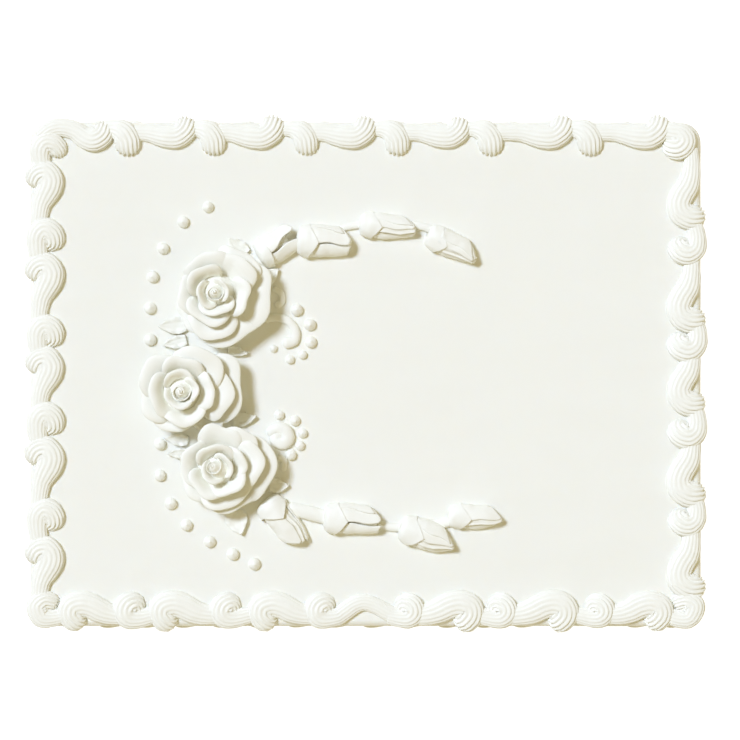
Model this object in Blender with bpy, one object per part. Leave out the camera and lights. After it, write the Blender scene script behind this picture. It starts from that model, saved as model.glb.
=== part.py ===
"""Iced sheet cake with piped borders, three roses, two sprays of buds, leaves and dots on its top.

Metres, +Z up. +X runs along the cake's long side and the cake stands on z = 0 with its middle at the origin.
"""

import math
import random

import bmesh
import bpy
from mathutils import Matrix, Vector

UP = Vector((0, 0, 1))
STEEP = 0.99
WELD = 1e-6

# Driving sizes of the cake
CAKE_LENGTH = 0.406
CAKE_WIDTH = 0.305
CAKE_HEIGHT = 0.064
CORNER_RADIUS = 0.012
TOP_EDGE_RADIUS = 0.004
FOOT_EDGE_RADIUS = 0.0015
FIT_GAP = 0.0003
TOP = CAKE_HEIGHT + FIT_GAP
WHOLE_TOP = (
    (-CAKE_LENGTH / 2, -CAKE_WIDTH / 2),
    (CAKE_LENGTH / 2, -CAKE_WIDTH / 2),
    (CAKE_LENGTH / 2, CAKE_WIDTH / 2),
    (-CAKE_LENGTH / 2, CAKE_WIDTH / 2),
)

# Piped border on top: the rope of a star tip, laid in shells along a line just inside the edge
BORDER_INSET = 0.0094
BORDER_ROOM = 0.018
BORDER_DEPTH = 0.042
STAR_RIDGES = 4
STAR_DEPTH = 0.17
STAR_WRAP = 0.35
SIZE_SPREAD = 0.05
# The soft cream settles under its own weight: the height that is left, as a share
BORDER_SETTLED = 0.50
# One shell's rope: (along the run, towards the curl, height, radius)
SHELL_HEAD = (
    (0.0014, 0.0076, -0.0020, 0.0046),
    (-0.0050, 0.0078, 0.0036, 0.0058),
    (-0.0082, 0.0020, 0.0056, 0.0062),
    (-0.0052, -0.0040, 0.0056, 0.0064),
    (0.0028, -0.0052, 0.0048, 0.0066),
)
# The tail runs straight on: how far it drifts, sinks and narrows for each metre of its length
TAIL_DRIFT = 0.25
TAIL_SINK = 0.10
TAIL_TAPER = 0.045
TAIL_OVERLAP = 0.0070
SHORTEST_TAIL = 0.0100
CORNER_TAIL = 0.0200
OUT, IN = -1, 1

# Heads of the shells along each side, from the first one piped: their places along the side's axis
# (the last place is where the last tail ends)
LEFT_HEADS = (0.117, 0.081, 0.061, 0.023, 0.005, -0.030, -0.050, -0.088, -0.110, -0.142)
RIGHT_HEADS = (-0.122, -0.085, -0.066, -0.0315, -0.0115, 0.021, 0.039, 0.079, 0.101, 0.142)
BACK_HEADS = (
    0.175, 0.130, 0.113, 0.070, 0.051, 0.014, -0.006,
    -0.041, -0.062, -0.097, -0.114, -0.149, -0.165, -0.190,
)
FRONT_LEFT_HEADS = (-0.174, -0.139, -0.119, -0.081, -0.059, -0.024, -0.006)
FRONT_RIGHT_HEADS = (0.174, 0.138, 0.116, 0.079, 0.059, 0.023, 0.005)
# Shells that turn the corners, curled inwards: (x, y, heading in degrees)
CORNER_SHELLS = {
    "back_left": (-0.188, 0.138, 245),
    "front_left": (-0.190, -0.142, -60),
    "front_right": (0.189, -0.140, 100),
    "back_right": (0.190, 0.139, 130),
}
# The plain arch where the two front runs meet: (x, y, height, radius)
FRONT_ARCH = (
    (-0.020, -0.145, 0.0025, 0.0058),
    (-0.008, -0.140, 0.0028, 0.0056),
    (0.006, -0.138, 0.0030, 0.0054),
    (0.020, -0.144, 0.0024, 0.0052),
)

# Foot border: a low shell every pitch, set against the side
FOOT_PITCH = 0.0235
FOOT_REACH = 0.0065
FOOT_WAIST = 0.0042
FOOT_HEIGHT = 0.0135
FOOT_WAIST_HEIGHT = 0.0100
FOOT_CHEEK = 0.8
FOOT_HEAD_SHARE = 0.35
FOOT_GAP = 0.0004
# Round the corner: share of the bend, and how far the shell swells there
FOOT_CORNER = ((0.00, 0.0), (0.25, 1.0), (0.50, 0.9), (0.75, 0.4), (0.98, 0.0))

# Roses: middle of the bud, and each petal as (bearing in degrees, reach, half span in degrees, height)
ROSES = {
    "rose_back": ((-0.09, 0.049), (
        (20, 0.009, 75, 0.0255), (200, 0.0105, 80, 0.025), (280, 0.0145, 65, 0.024),
        (130, 0.0175, 60, 0.023), (250, 0.02, 60, 0.0215), (350, 0.0215, 45, 0.0225),
        (45, 0.027, 45, 0.02), (105, 0.0245, 50, 0.0195), (185, 0.022, 50, 0.0185), (265, 0.028, 50, 0.0175),
        (300, 0.0335, 55, 0.013), (355, 0.035, 50, 0.014), (50, 0.031, 40, 0.015), (225, 0.0265, 40, 0.012),
    )),
    "rose_middle": ((-0.11, -0.01), (
        (10, 0.011, 60, 0.0255), (250, 0.0105, 85, 0.025), (95, 0.013, 70, 0.0245),
        (0, 0.0205, 45, 0.0225), (280, 0.021, 55, 0.021), (190, 0.0195, 60, 0.0215), (85, 0.021, 50, 0.0225),
        (55, 0.029, 55, 0.0195), (355, 0.031, 45, 0.0175), (145, 0.0265, 50, 0.018),
        (200, 0.0255, 50, 0.0155), (250, 0.025, 50, 0.0135), (5, 0.0375, 50, 0.013), (322, 0.031, 35, 0.012),
    )),
    "rose_front": ((-0.088, -0.056), (
        (30, 0.0095, 80, 0.025), (220, 0.0095, 80, 0.0245), (100, 0.015, 70, 0.024),
        (310, 0.018, 60, 0.023), (20, 0.0175, 50, 0.023), (235, 0.019, 55, 0.022),
        (10, 0.0275, 45, 0.019), (165, 0.022, 60, 0.0185), (85, 0.026, 45, 0.019), (50, 0.028, 40, 0.018),
        (290, 0.025, 60, 0.0155), (0, 0.034, 55, 0.013), (300, 0.0285, 50, 0.012), (215, 0.024, 45, 0.012),
    )),
}
PETAL_THICKNESS = 0.0016
PETAL_FOOT_SHARE = 0.75
PETAL_START_SHARE = 0.40
PETAL_ROOT = 0.0025
PETAL_TUCK = 0.20
PETAL_DROP = 0.10
ROSE_CORE_RADIUS = 0.0165
ROSE_CORE_TOP_RADIUS = 0.0045
ROSE_CORE_HEIGHT = 0.0225
ROSE_CORE_SIDES = 8
BUD_CONE_RADIUS = 0.0050
BUD_CONE_HEIGHT = 0.0275
BUD_CONE_SIDES = 6
# Share of the cone's height, and share of its radius there
BUD_CONE_PROFILE = ((0.6, 1.0), (0.9, 0.8), (1.0, 0.3))

# Buds of the two sprays: foot and tip on the cake, and width
BUDS = {
    "bud_back_1": ((-0.063, 0.073), (-0.0432, 0.085), 0.0155),
    "bud_back_2": ((-0.0385, 0.080), (-0.0085, 0.0806), 0.0180),
    "bud_back_3": ((-0.001, 0.092), (0.032, 0.087), 0.0160),
    "bud_back_4": ((0.040, 0.085), (0.070, 0.068), 0.0160),
    "bud_front_1": ((-0.057, -0.080), (-0.038, -0.104), 0.0175),
    "bud_front_2": ((-0.022, -0.084), (0.011, -0.090), 0.0165),
    "bud_front_3": ((0.024, -0.091), (0.053, -0.103), 0.0160),
    "bud_front_4": ((0.053, -0.084), (0.084, -0.088), 0.0145),
}
# Share of the bud's length, and share of its width there
BUD_PROFILE = ((0.00, 0.50), (0.24, 0.98), (0.62, 0.92), (1.00, 0.52))
CALYX_PROFILE = ((-0.03, 0.34), (0.14, 1.12), (0.37, 1.06))
BUD_FOLD = 0.80
BUD_SIDES = 7
CALYX_SIDES = 6
CALYX_TURN = 0.3
BUD_CENTRE_SHARE = 0.36
BUD_SETTLED = 0.62

# Vines between the buds, lines with rounded backs
VINES = {
    "vine_back_1": ((-0.0125, 0.0897), (-0.0042, 0.0905), (-0.0085, 0.0904)),
    "vine_back_2": ((0.0330, 0.0885), (0.0379, 0.0872), (0.0356, 0.0881)),
    "vine_front_1": ((-0.0385, -0.0850), (-0.0252, -0.0850), (-0.0315, -0.0843)),
    "vine_front_2": ((0.0120, -0.0895), (0.0206, -0.0900), (0.0165, -0.0893)),
    "vine_front_3": ((0.0395, -0.0895), (0.0492, -0.0862), (0.0445, -0.0873)),
}
VINE_RADIUS = 0.0022
VINE_SIDES = 6
LINE_BED = 0.5
SCROLL_SIDES = 6

# Scrolls beside the roses: points of the line with its radius
SCROLLS = {
    "scroll_back": (
        (-0.06, 0.0335, 0.0022), (-0.054, 0.0345, 0.0024), (-0.047, 0.0325, 0.0026),
        (-0.0425, 0.0265, 0.0028), (-0.043, 0.0205, 0.003), (-0.0475, 0.019, 0.0034),
    ),
    "scroll_back_small": (
        (-0.0545, 0.0515, 0.0018), (-0.051, 0.049, 0.002), (-0.0505, 0.044, 0.002), (-0.053, 0.042, 0.0022),
    ),
    "scroll_front": (
        (-0.0575, -0.033, 0.003), (-0.053, -0.0315, 0.0034), (-0.048, -0.0335, 0.0036),
        (-0.0465, -0.0385, 0.0036), (-0.05, -0.042, 0.0036), (-0.0545, -0.0405, 0.0034),
    ),
    "scroll_front_small": (
        (-0.0495, -0.0572, 0.0018), (-0.0491, -0.0522, 0.002), (-0.0515, -0.0502, 0.0022),
    ),
}

# Leaves: foot, tip and width
LEAVES = {
    "leaf_1": ((-0.072, 0.0725), (-0.082, 0.0820), 0.0095),
    "leaf_2": ((-0.063, 0.0560), (-0.0525, 0.0633), 0.0100),
    "leaf_3": ((-0.108, 0.0300), (-0.125, 0.0290), 0.0105),
    "leaf_4": ((-0.108, 0.0210), (-0.122, 0.0175), 0.0080),
    "leaf_5": ((-0.083, 0.0150), (-0.071, 0.0125), 0.0060),
    "leaf_6": ((-0.080, -0.0280), (-0.066, -0.0255), 0.0085),
    "leaf_7": ((-0.107, -0.0400), (-0.121, -0.0385), 0.0075),
    "leaf_8": ((-0.107, -0.0475), (-0.119, -0.0480), 0.0065),
    "leaf_9": ((-0.058, -0.0670), (-0.0465, -0.0672), 0.0090),
    "leaf_10": ((-0.079, -0.0830), (-0.075, -0.0960), 0.0110),
}
LEAF_THICKNESS = 0.0012
LEAF_BED = 0.0018
LEAF_LIFT = 0.0030
LEAF_FOLD = 0.0014
LEAF_WAVE = 0.0005
LEAF_WAVES = 2
LEAF_BASE = 0.24

# Dots: where each small dome stands and its radius
DOTS = (
    (-0.095, 0.101, 0.0034), (-0.11, 0.092, 0.0036), (-0.122, 0.076, 0.0036), (-0.1285, 0.059, 0.0037),
    (-0.13, 0.04, 0.0037), (-0.13, 0.021, 0.0038), (-0.124, -0.042, 0.0036), (-0.124, -0.061, 0.0036),
    (-0.1175, -0.078, 0.0037), (-0.108, -0.091, 0.0036), (-0.094, -0.101, 0.0036), (-0.08, -0.1085, 0.0037),
    (-0.067, -0.1145, 0.0037), (-0.0415, 0.039, 0.0038), (-0.0335, 0.03, 0.0037), (-0.033, 0.0195, 0.0036),
    (-0.038, 0.012, 0.0028), (-0.0455, 0.009, 0.0028), (-0.0555, 0.0155, 0.0024), (-0.052, -0.0245, 0.003),
    (-0.0425, -0.028, 0.0032), (-0.038, -0.0355, 0.003), (-0.0395, -0.043, 0.003), (-0.045, -0.0485, 0.0034),
)
# Share of the dot's height, and share of its radius there
DOT_PROFILE = ((-0.12, 0.92), (0.50, 0.90), (1.00, 0.00))
DOT_HEIGHT_SHARE = 1.05
DOT_SIDES = 6

# Icing colours: linear red, green and blue
ICING_COLOUR = (0.90, 0.91, 0.86, 1)
PIPING_COLOUR = (0.93, 0.93, 0.90, 1)
ICING_ROUGHNESS = 0.5

rng = random.Random(12)


def make_material(name, colour):
    """A matt cream finish."""
    material = bpy.data.materials.new(name)
    material.use_nodes = True
    shader = material.node_tree.nodes["Principled BSDF"]
    shader.inputs["Base Color"].default_value = colour
    shader.inputs["Roughness"].default_value = ICING_ROUGHNESS
    shader.inputs["Metallic"].default_value = 0
    return material


def make_object(name, shape, home, material):
    """Turns a finished bmesh into an object of the collection home."""
    bmesh.ops.recalc_face_normals(shape, faces=shape.faces)
    mesh = bpy.data.meshes.new(name)
    shape.to_mesh(mesh)
    shape.free()
    mesh.materials.append(material)
    made = bpy.data.objects.new(name, mesh)
    home.objects.link(made)
    return made


def mapped_grid(columns, rows, place):
    """A grid of quads with each corner moved to place(u, v), where u and v run from 0 to 1."""
    sheet = bmesh.new()
    bmesh.ops.create_grid(sheet, x_segments=columns, y_segments=rows, size=0.5)
    for corner in sheet.verts:
        corner.co = place(corner.co.x + 0.5, corner.co.y + 0.5)
    return sheet


def turned_frames(points):
    """How a section is turned at each point: upright at the far end, with the least roll on the way there."""
    behind = points[:1] + points[:-1]
    ahead = points[1:] + points[-1:]
    travels = [(later - earlier).normalized() for earlier, later in zip(behind, ahead)]
    travel = travels[-1]
    left = UP.cross(travel) if abs(travel.z) < STEEP else Vector((1, 0, 0))
    left.normalize()
    turn = Matrix((left, travel.cross(left), travel)).transposed().to_quaternion()
    frames = [turn]
    for earlier in reversed(travels[:-1]):
        turn = travel.rotation_difference(earlier) @ turn
        travel = earlier
        frames.insert(0, turn)
    return frames


def rope(points, radii, section):
    """A closed rope: the section, a list of (across, up) shares of the radius, carried along the points."""
    frames = turned_frames(points)
    sides = len(section)
    last = len(points) - 1

    def place(u, v):
        ring = round(v * last)
        across, up = section[round(u * sides) % sides]
        return points[ring] + frames[ring] @ (Vector((across, up, 0)) * radii[ring])

    shape = mapped_grid(sides, last, place)
    bmesh.ops.remove_doubles(shape, verts=shape.verts, dist=WELD)
    rims = [edge for edge in shape.edges if edge.is_boundary]
    bmesh.ops.holes_fill(shape, edges=rims, sides=0)
    return shape


def piped_section():
    """Icing from a star tip seen end on: crests and valleys over its back and sides, and one corner below."""
    corners = [(0.0, -1.0)]
    steps = 2 * STAR_RIDGES - 2
    for step in range(steps + 1):
        angle = -STAR_WRAP + (math.pi + 2 * STAR_WRAP) * step / steps
        reach = 1.0 if step % 2 == 0 else 1.0 - STAR_DEPTH
        corners.append((reach * math.cos(angle), reach * math.sin(angle)))
    return corners


def round_section(sides, turn=0.0):
    angles = [math.tau * step / sides + turn for step in range(sides)]
    return [(math.cos(angle), math.sin(angle)) for angle in angles]


def folded_section(sides, fold):
    """A roll of petal seen end on: the radius shrinks round the roll and steps back where the petal laps."""
    corners = []
    for step in range(sides):
        angle = math.tau * step / (sides - 1)
        reach = 1.0 - (1.0 - fold) * step / (sides - 1)
        corners.append((reach * math.cos(angle), reach * math.sin(angle)))
    return corners


def room_above(outline):
    """A tall prism over an outline, standing just clear of the cake's top, to keep what is piped there."""
    room = bmesh.new()
    floor = room.faces.new([room.verts.new((x, y, TOP)) for x, y in outline])
    lifted = bmesh.ops.extrude_face_region(room, geom=[floor])["geom"]
    corners = [corner for corner in lifted if isinstance(corner, bmesh.types.BMVert)]
    bmesh.ops.translate(room, verts=corners, vec=UP * CAKE_HEIGHT)
    return room


def add_boolean(made, operation):
    """A Boolean modifier. Folded shapes may run into themselves."""
    step = made.modifiers.new(operation.lower(), "BOOLEAN")
    step.operation = operation
    step.solver = "EXACT"
    step.use_self = True
    return step


def apply_modifiers(made):
    bpy.context.view_layer.update()
    finished = made.evaluated_get(bpy.context.evaluated_depsgraph_get())
    mesh = bpy.data.meshes.new_from_object(finished)
    made.modifiers.clear()
    made.data = mesh
    mesh.name = made.name


def clean(made):
    """Keeps the largest body: loose scraps go, and a hollow sealed inside is filled."""
    shape = bmesh.new()
    shape.from_mesh(made.data)
    bmesh.ops.remove_doubles(shape, verts=shape.verts, dist=WELD)
    bodies = []
    waiting = set(shape.verts)
    while waiting:
        body = [waiting.pop()]
        for corner in body:
            near = {edge.other_vert(corner) for edge in corner.link_edges} & waiting
            waiting -= near
            body.extend(near)
        bodies.append(body)
    for body in sorted(bodies, key=len)[:-1]:
        bmesh.ops.delete(shape, geom=body, context="VERTS")
    shape.to_mesh(made.data)
    shape.free()


def fuse(name, shapes, material, room=None):
    """One solid from overlapping shapes, kept inside the room if there is one."""
    made = make_object(name, shapes[0], parts, material)
    for number, shape in enumerate(shapes[1:]):
        make_object(f"{name}_piece_{number}", shape, cutters, material)
    if len(shapes) > 1:
        union = add_boolean(made, "UNION")
        union.operand_type = "COLLECTION"
        union.collection = cutters
        apply_modifiers(made)
    for piece in list(cutters.objects):
        bpy.data.objects.remove(piece)
    if room is not None:
        walls = make_object(name + "_room", room, cutters, material)
        add_boolean(made, "INTERSECT").object = walls
        apply_modifiers(made)
        bpy.data.objects.remove(walls)
    clean(made)


def make_cake_body():
    """The iced slab with the dots piped on its top."""
    slab = bmesh.new()
    bmesh.ops.create_cube(slab, size=1, matrix=Matrix.Diagonal((CAKE_LENGTH, CAKE_WIDTH, CAKE_HEIGHT, 1)))
    bmesh.ops.translate(slab, verts=slab.verts, vec=(0, 0, CAKE_HEIGHT / 2))
    upright = [edge for edge in slab.edges if abs(edge.verts[0].co.z - edge.verts[1].co.z) > CAKE_HEIGHT / 2]
    rounding = {"profile": 0.5, "affect": "EDGES", "material": -1}
    bmesh.ops.bevel(slab, geom=upright, offset=CORNER_RADIUS, segments=4, **rounding)
    for level, radius, steps in ((CAKE_HEIGHT, TOP_EDGE_RADIUS, 2), (0, FOOT_EDGE_RADIUS, 1)):
        rim = [edge for edge in slab.edges if all(abs(v.co.z - level) < FIT_GAP for v in edge.verts)]
        bmesh.ops.bevel(slab, geom=rim, offset=radius, segments=steps, **rounding)
    shapes = [slab]
    for x, y, radius in DOTS:
        shapes.append(make_dot(x, y, radius))
    fuse("cake_body", shapes, icing)


def make_dot(x, y, radius):
    """A small dome that comes to a point, with its foot sunk in the icing."""
    height = radius * DOT_HEIGHT_SHARE
    points = [Vector((x, y, CAKE_HEIGHT + share * height)) for share, _ in DOT_PROFILE]
    return rope(points, [radius * width for _, width in DOT_PROFILE], round_section(DOT_SIDES))


def settle(shape, share):
    """A piped shape with its height above the cake's top lowered to a share, as the cream settles."""
    for corner in shape.verts:
        corner.co.z = TOP + (corner.co.z - TOP) * share
    return shape


def shell(x, y, along, curl, length, size=1.0):
    """One border shell: its rope starts beside the line, turns over the head and runs into the tail."""
    neck, away, height, radius = SHELL_HEAD[-1]
    end = max(length - TAIL_OVERLAP, SHORTEST_TAIL)
    run = end - neck
    tail = (end, away + TAIL_DRIFT * run, height - TAIL_SINK * run, radius - TAIL_TAPER * run)
    stations = [*SHELL_HEAD, tail]
    along = Vector((*along, 0))
    aside = Vector((-along.y, along.x, 0)) * curl
    origin = Vector((x, y, TOP))
    points = []
    for ahead, away, height, _ in stations:
        points.append(origin + along * ahead + size * (aside * away + UP * height))
    return settle(rope(points, [size * radius for _, _, _, radius in stations], piped_section()), BORDER_SETTLED)


def run_of_shells(heads, along, line, mirror=1):
    """Shells along one side, curling out and in by turns, each tail reaching to the next head."""
    shapes = []
    curl = OUT
    for place, following in zip(heads, heads[1:]):
        x, y = (line, place) if along[1] else (place, line)
        size = 1 + rng.uniform(-SIZE_SPREAD, SIZE_SPREAD)
        shapes.append(shell(x, y, along, curl * mirror, abs(following - place), size))
        curl = -curl
    return shapes


def corner_shells(*names):
    """The shells that turn the named corners. The mitre cuts each in two, half for each side."""
    shapes = []
    for name in names:
        x, y, heading = CORNER_SHELLS[name]
        along = (math.cos(math.radians(heading)), math.sin(math.radians(heading)))
        shapes.append(shell(x, y, along, IN, CORNER_TAIL))
    return shapes


def side_room(side):
    """The ground of one side's border: an outline with its ends mitred through the cake's corners."""
    x, y = CAKE_LENGTH / 2, CAKE_WIDTH / 2
    gap = FIT_GAP
    if side in ("left", "right"):
        far, near, end = x + BORDER_ROOM, x - BORDER_DEPTH, y - x - gap
        outline = [(-far, far + end), (-far, -far - end), (-near, -near - end), (-near, near + end)]
        flip = side == "right"
        return room_above([(-px, -py) if flip else (px, py) for px, py in outline])
    far, near, end = y + BORDER_ROOM, y - BORDER_DEPTH, x - y - gap
    outline = [(-far - end, -far), (far + end, -far), (near + end, -near), (-near - end, -near)]
    flip = side == "back"
    return room_above([(-px, -py) if flip else (px, py) for px, py in outline])


def make_top_border():
    side_line = CAKE_LENGTH / 2 - BORDER_INSET
    end_line = CAKE_WIDTH / 2 - BORDER_INSET
    left = run_of_shells(LEFT_HEADS, (0, -1), -side_line) + corner_shells("back_left", "front_left")
    fuse("border_left", left, piping, side_room("left"))
    right = run_of_shells(RIGHT_HEADS, (0, 1), side_line) + corner_shells("back_right", "front_right")
    fuse("border_right", right, piping, side_room("right"))
    back = run_of_shells(BACK_HEADS, (-1, 0), end_line) + corner_shells("back_left", "back_right")
    fuse("border_back", back, piping, side_room("back"))
    front = run_of_shells(FRONT_LEFT_HEADS, (1, 0), -end_line)
    front += run_of_shells(FRONT_RIGHT_HEADS, (-1, 0), -end_line, mirror=-1)
    front += corner_shells("front_left", "front_right")
    points = [Vector((x, y, TOP + height)) for x, y, height, _ in FRONT_ARCH]
    arch = rope(points, [radius for _, _, _, radius in FRONT_ARCH], piped_section())
    front.append(settle(arch, BORDER_SETTLED))
    fuse("border_front", front, piping, side_room("front"))


def make_foot_run(name, straight, turn, distance):
    """A row of low shells against one side and round the corner at its end."""
    count = round(straight / FOOT_PITCH)
    bend = CORNER_RADIUS * math.pi / 2
    stations = []
    for number in range(count):
        stations.append((straight * number / count, 0.0))
        stations.append((straight * (number + FOOT_HEAD_SHARE) / count, 1.0))
    for share, swell in FOOT_CORNER:
        stations.append((straight + bend * share, swell))
    section = ((0, 0), (1, 0), (FOOT_CHEEK, FOOT_CHEEK), (0, 1))

    def place(u, v):
        along, swell = stations[round(v * (len(stations) - 1))]
        out, up = section[round(u * len(section)) % len(section)]
        reach = FOOT_WAIST + (FOOT_REACH - FOOT_WAIST) * swell
        height = FOOT_WAIST_HEIGHT + (FOOT_HEIGHT - FOOT_WAIST_HEIGHT) * swell
        angle = max(0.0, along - straight) / CORNER_RADIUS
        radius = CORNER_RADIUS + FOOT_GAP + out * reach
        x = min(along, straight) - straight / 2 + radius * math.sin(angle)
        y = CORNER_RADIUS - distance - radius * math.cos(angle)
        return Vector((x, y, up * height))

    shape = mapped_grid(len(section), len(stations) - 1, place)
    bmesh.ops.remove_doubles(shape, verts=shape.verts, dist=WELD)
    rims = [edge for edge in shape.edges if edge.is_boundary]
    bmesh.ops.holes_fill(shape, edges=rims, sides=0)
    bmesh.ops.rotate(shape, verts=shape.verts, matrix=Matrix.Rotation(math.radians(turn), 3, "Z"))
    return make_object(name, shape, parts, piping)


def make_foot_border():
    long_run = CAKE_LENGTH - 2 * CORNER_RADIUS
    short_run = CAKE_WIDTH - 2 * CORNER_RADIUS
    make_foot_run("foot_front", long_run, 0, CAKE_WIDTH / 2)
    make_foot_run("foot_right", short_run, 90, CAKE_LENGTH / 2)
    make_foot_run("foot_back", long_run, 180, CAKE_WIDTH / 2)
    make_foot_run("foot_left", short_run, 270, CAKE_LENGTH / 2)


def petal(middle, bearing, reach, half_span, height):
    """A thin curved petal: its foot in the core, its rim thrown outwards, its ends tucked in and lower."""
    start = height * PETAL_START_SHARE
    core = ROSE_CORE_RADIUS + (ROSE_CORE_TOP_RADIUS - ROSE_CORE_RADIUS) * start / ROSE_CORE_HEIGHT
    foot = min(core - PETAL_ROOT, reach * PETAL_FOOT_SHARE)

    def place(u, v):
        aside = 2 * u - 1
        angle = math.radians(bearing + aside * half_span)
        rim = reach * (1 - PETAL_TUCK * aside ** 2)
        top = height * (1 - PETAL_DROP * aside ** 2)
        outwards = Vector((math.cos(angle), math.sin(angle), 0))
        return middle + outwards * (foot + (rim - foot) * v) + UP * (start + (top - start) * v)

    sheet = mapped_grid(3, 1, place)
    bmesh.ops.solidify(sheet, geom=sheet.faces[:], thickness=PETAL_THICKNESS)
    return sheet


def make_rose(name, place, petals):
    """A cone of icing with a pointed bud and petals round it, opening row by row."""
    middle = Vector((place[0], place[1], TOP))
    core = bmesh.new()
    bmesh.ops.create_cone(
        core, cap_ends=True, segments=ROSE_CORE_SIDES, radius1=ROSE_CORE_RADIUS, radius2=ROSE_CORE_TOP_RADIUS,
        depth=ROSE_CORE_HEIGHT, matrix=Matrix.Translation(middle + UP * ROSE_CORE_HEIGHT / 2),
    )
    points = [middle + UP * share * BUD_CONE_HEIGHT for share, _ in BUD_CONE_PROFILE]
    radii = [BUD_CONE_RADIUS * width for _, width in BUD_CONE_PROFILE]
    bud = rope(points, radii, round_section(BUD_CONE_SIDES))
    shapes = [core, bud] + [petal(middle, *entry) for entry in petals]
    fuse(name, shapes, piping)


def make_bud(name, foot, tip, width):
    """A half-open bud lying on the cake: a roll of petal with a lapping edge, and a calyx round its foot."""
    start = Vector((foot[0], foot[1], TOP))
    length = Vector((tip[0], tip[1], TOP)) - start
    shapes = []
    petals = (BUD_PROFILE, folded_section(BUD_SIDES, BUD_FOLD))
    calyx = (CALYX_PROFILE, round_section(CALYX_SIDES, CALYX_TURN))
    for profile, section in (petals, calyx):
        points = []
        for share, swell in profile:
            points.append(start + length * share + UP * BUD_CENTRE_SHARE * width * swell)
        roll = rope(points, [width / 2 * swell for _, swell in profile], section)
        shapes.append(settle(roll, BUD_SETTLED))
    fuse(name, shapes, piping, room_above(WHOLE_TOP))


def make_vine(name, start, end, middle):
    """A short line of icing, bent a little on its way."""
    points = [Vector((x, y, TOP + VINE_RADIUS * LINE_BED)) for x, y in (start, middle, end)]
    line = rope(points, [VINE_RADIUS] * len(points), round_section(VINE_SIDES))
    fuse(name, [line], piping, room_above(WHOLE_TOP))


def make_scroll(name, entries):
    points = [Vector((x, y, TOP + radius * LINE_BED)) for x, y, radius in entries]
    line = rope(points, [radius for _, _, radius in entries], round_section(SCROLL_SIDES))
    fuse(name, [line], piping, room_above(WHOLE_TOP))


def make_leaf(name, foot, tip, width):
    """A thin pointed leaf, folded along its rib, waved at its edges and lifted towards its tip."""
    start = Vector((foot[0], foot[1], TOP))
    length = Vector((tip[0], tip[1], TOP)) - start
    side = Vector((length.y, -length.x, 0)).normalized() * width / 2

    def place(u, v):
        aside = 2 * u - 1
        spread = math.sin(math.pi * (LEAF_BASE + (1 - LEAF_BASE) * v)) if v < 1 else 0.0
        wave = LEAF_WAVE * math.cos(math.tau * LEAF_WAVES * v) * aside
        height = LEAF_BED + LEAF_LIFT * v ** 2 + (LEAF_FOLD * abs(aside) + wave) * spread
        return start + length * v + side * (aside * spread) + UP * height

    sheet = mapped_grid(2, 3, place)
    bmesh.ops.remove_doubles(sheet, verts=sheet.verts, dist=WELD)
    bmesh.ops.triangulate(sheet, faces=sheet.faces)
    bmesh.ops.solidify(sheet, geom=sheet.faces[:], thickness=LEAF_THICKNESS)
    return make_object(name, sheet, parts, piping)


for old in list(bpy.data.objects):
    bpy.data.objects.remove(old)
parts = bpy.data.collections.new("sheet_cake")
cutters = bpy.data.collections.new("cutters")
bpy.context.scene.collection.children.link(parts)
bpy.context.scene.collection.children.link(cutters)
cutters.hide_render = True
icing = make_material("icing", ICING_COLOUR)
piping = make_material("piping", PIPING_COLOUR)

make_cake_body()
make_top_border()
make_foot_border()
for rose_name, (rose_place, rose_petals) in ROSES.items():
    make_rose(rose_name, rose_place, rose_petals)
for bud_name, bud_sizes in BUDS.items():
    make_bud(bud_name, *bud_sizes)
for vine_name, vine_points in VINES.items():
    make_vine(vine_name, *vine_points)
for scroll_name, scroll_points in SCROLLS.items():
    make_scroll(scroll_name, scroll_points)
for leaf_name, leaf_sizes in LEAVES.items():
    make_leaf(leaf_name, *leaf_sizes)
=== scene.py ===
"""Iced sheet cake with piped borders, three roses, two sprays of rosebuds, leaves, scrolls and dots."""

import math
import random

import bmesh
import bpy
from mathutils import Matrix, Vector, noise


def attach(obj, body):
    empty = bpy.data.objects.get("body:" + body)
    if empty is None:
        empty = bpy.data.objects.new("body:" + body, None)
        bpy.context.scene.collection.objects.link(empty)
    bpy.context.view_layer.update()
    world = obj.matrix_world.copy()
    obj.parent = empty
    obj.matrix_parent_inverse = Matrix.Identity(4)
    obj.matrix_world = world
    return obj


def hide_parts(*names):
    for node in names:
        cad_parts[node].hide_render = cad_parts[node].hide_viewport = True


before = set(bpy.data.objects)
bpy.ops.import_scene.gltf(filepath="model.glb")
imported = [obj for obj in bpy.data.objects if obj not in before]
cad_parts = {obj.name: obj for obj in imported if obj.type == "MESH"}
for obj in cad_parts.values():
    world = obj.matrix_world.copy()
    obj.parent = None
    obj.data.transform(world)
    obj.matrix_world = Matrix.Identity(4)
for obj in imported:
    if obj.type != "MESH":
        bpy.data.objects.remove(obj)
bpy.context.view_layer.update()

# Iced slab
# The uncut sheet of sponge, covered all over with a thin coat of whipped cream icing.
# The icing is spread with a long spatula, so the top is flat with faint strokes and a few smudges.
CAKE_LENGTH = 0.406
CAKE_WIDTH = 0.305
CAKE_HEIGHT = 0.064
CORNER_RADIUS = 0.012
CORNER_STEPS = 14
TOP_EDGE_RADIUS = 0.004
TOP_EDGE_STEPS = 7
FOOT_EDGE_RADIUS = 0.0015
FOOT_EDGE_STEPS = 3
SAME_LEVEL = 1e-5
SAME_PLACE = 1e-6
CUT_SPACING = 0.004
SPREAD_DEPTH = 0.00022
SPREAD_SINK = 0.6
SPREAD_LENGTH = 0.060
SPREAD_WIDTH = 0.012
NODE_STEP = (220, 240)
CLOUD_SCALE = 26.0
STROKE_SCALE = (9.0, 70.0, 70.0)
ROUGHNESS = (0.42, 0.62)
GLOW_COLOUR = (1.0, 0.92, 0.80)
GLOW_DEPTH = 0.0008
SHINE = 0.35


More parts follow.
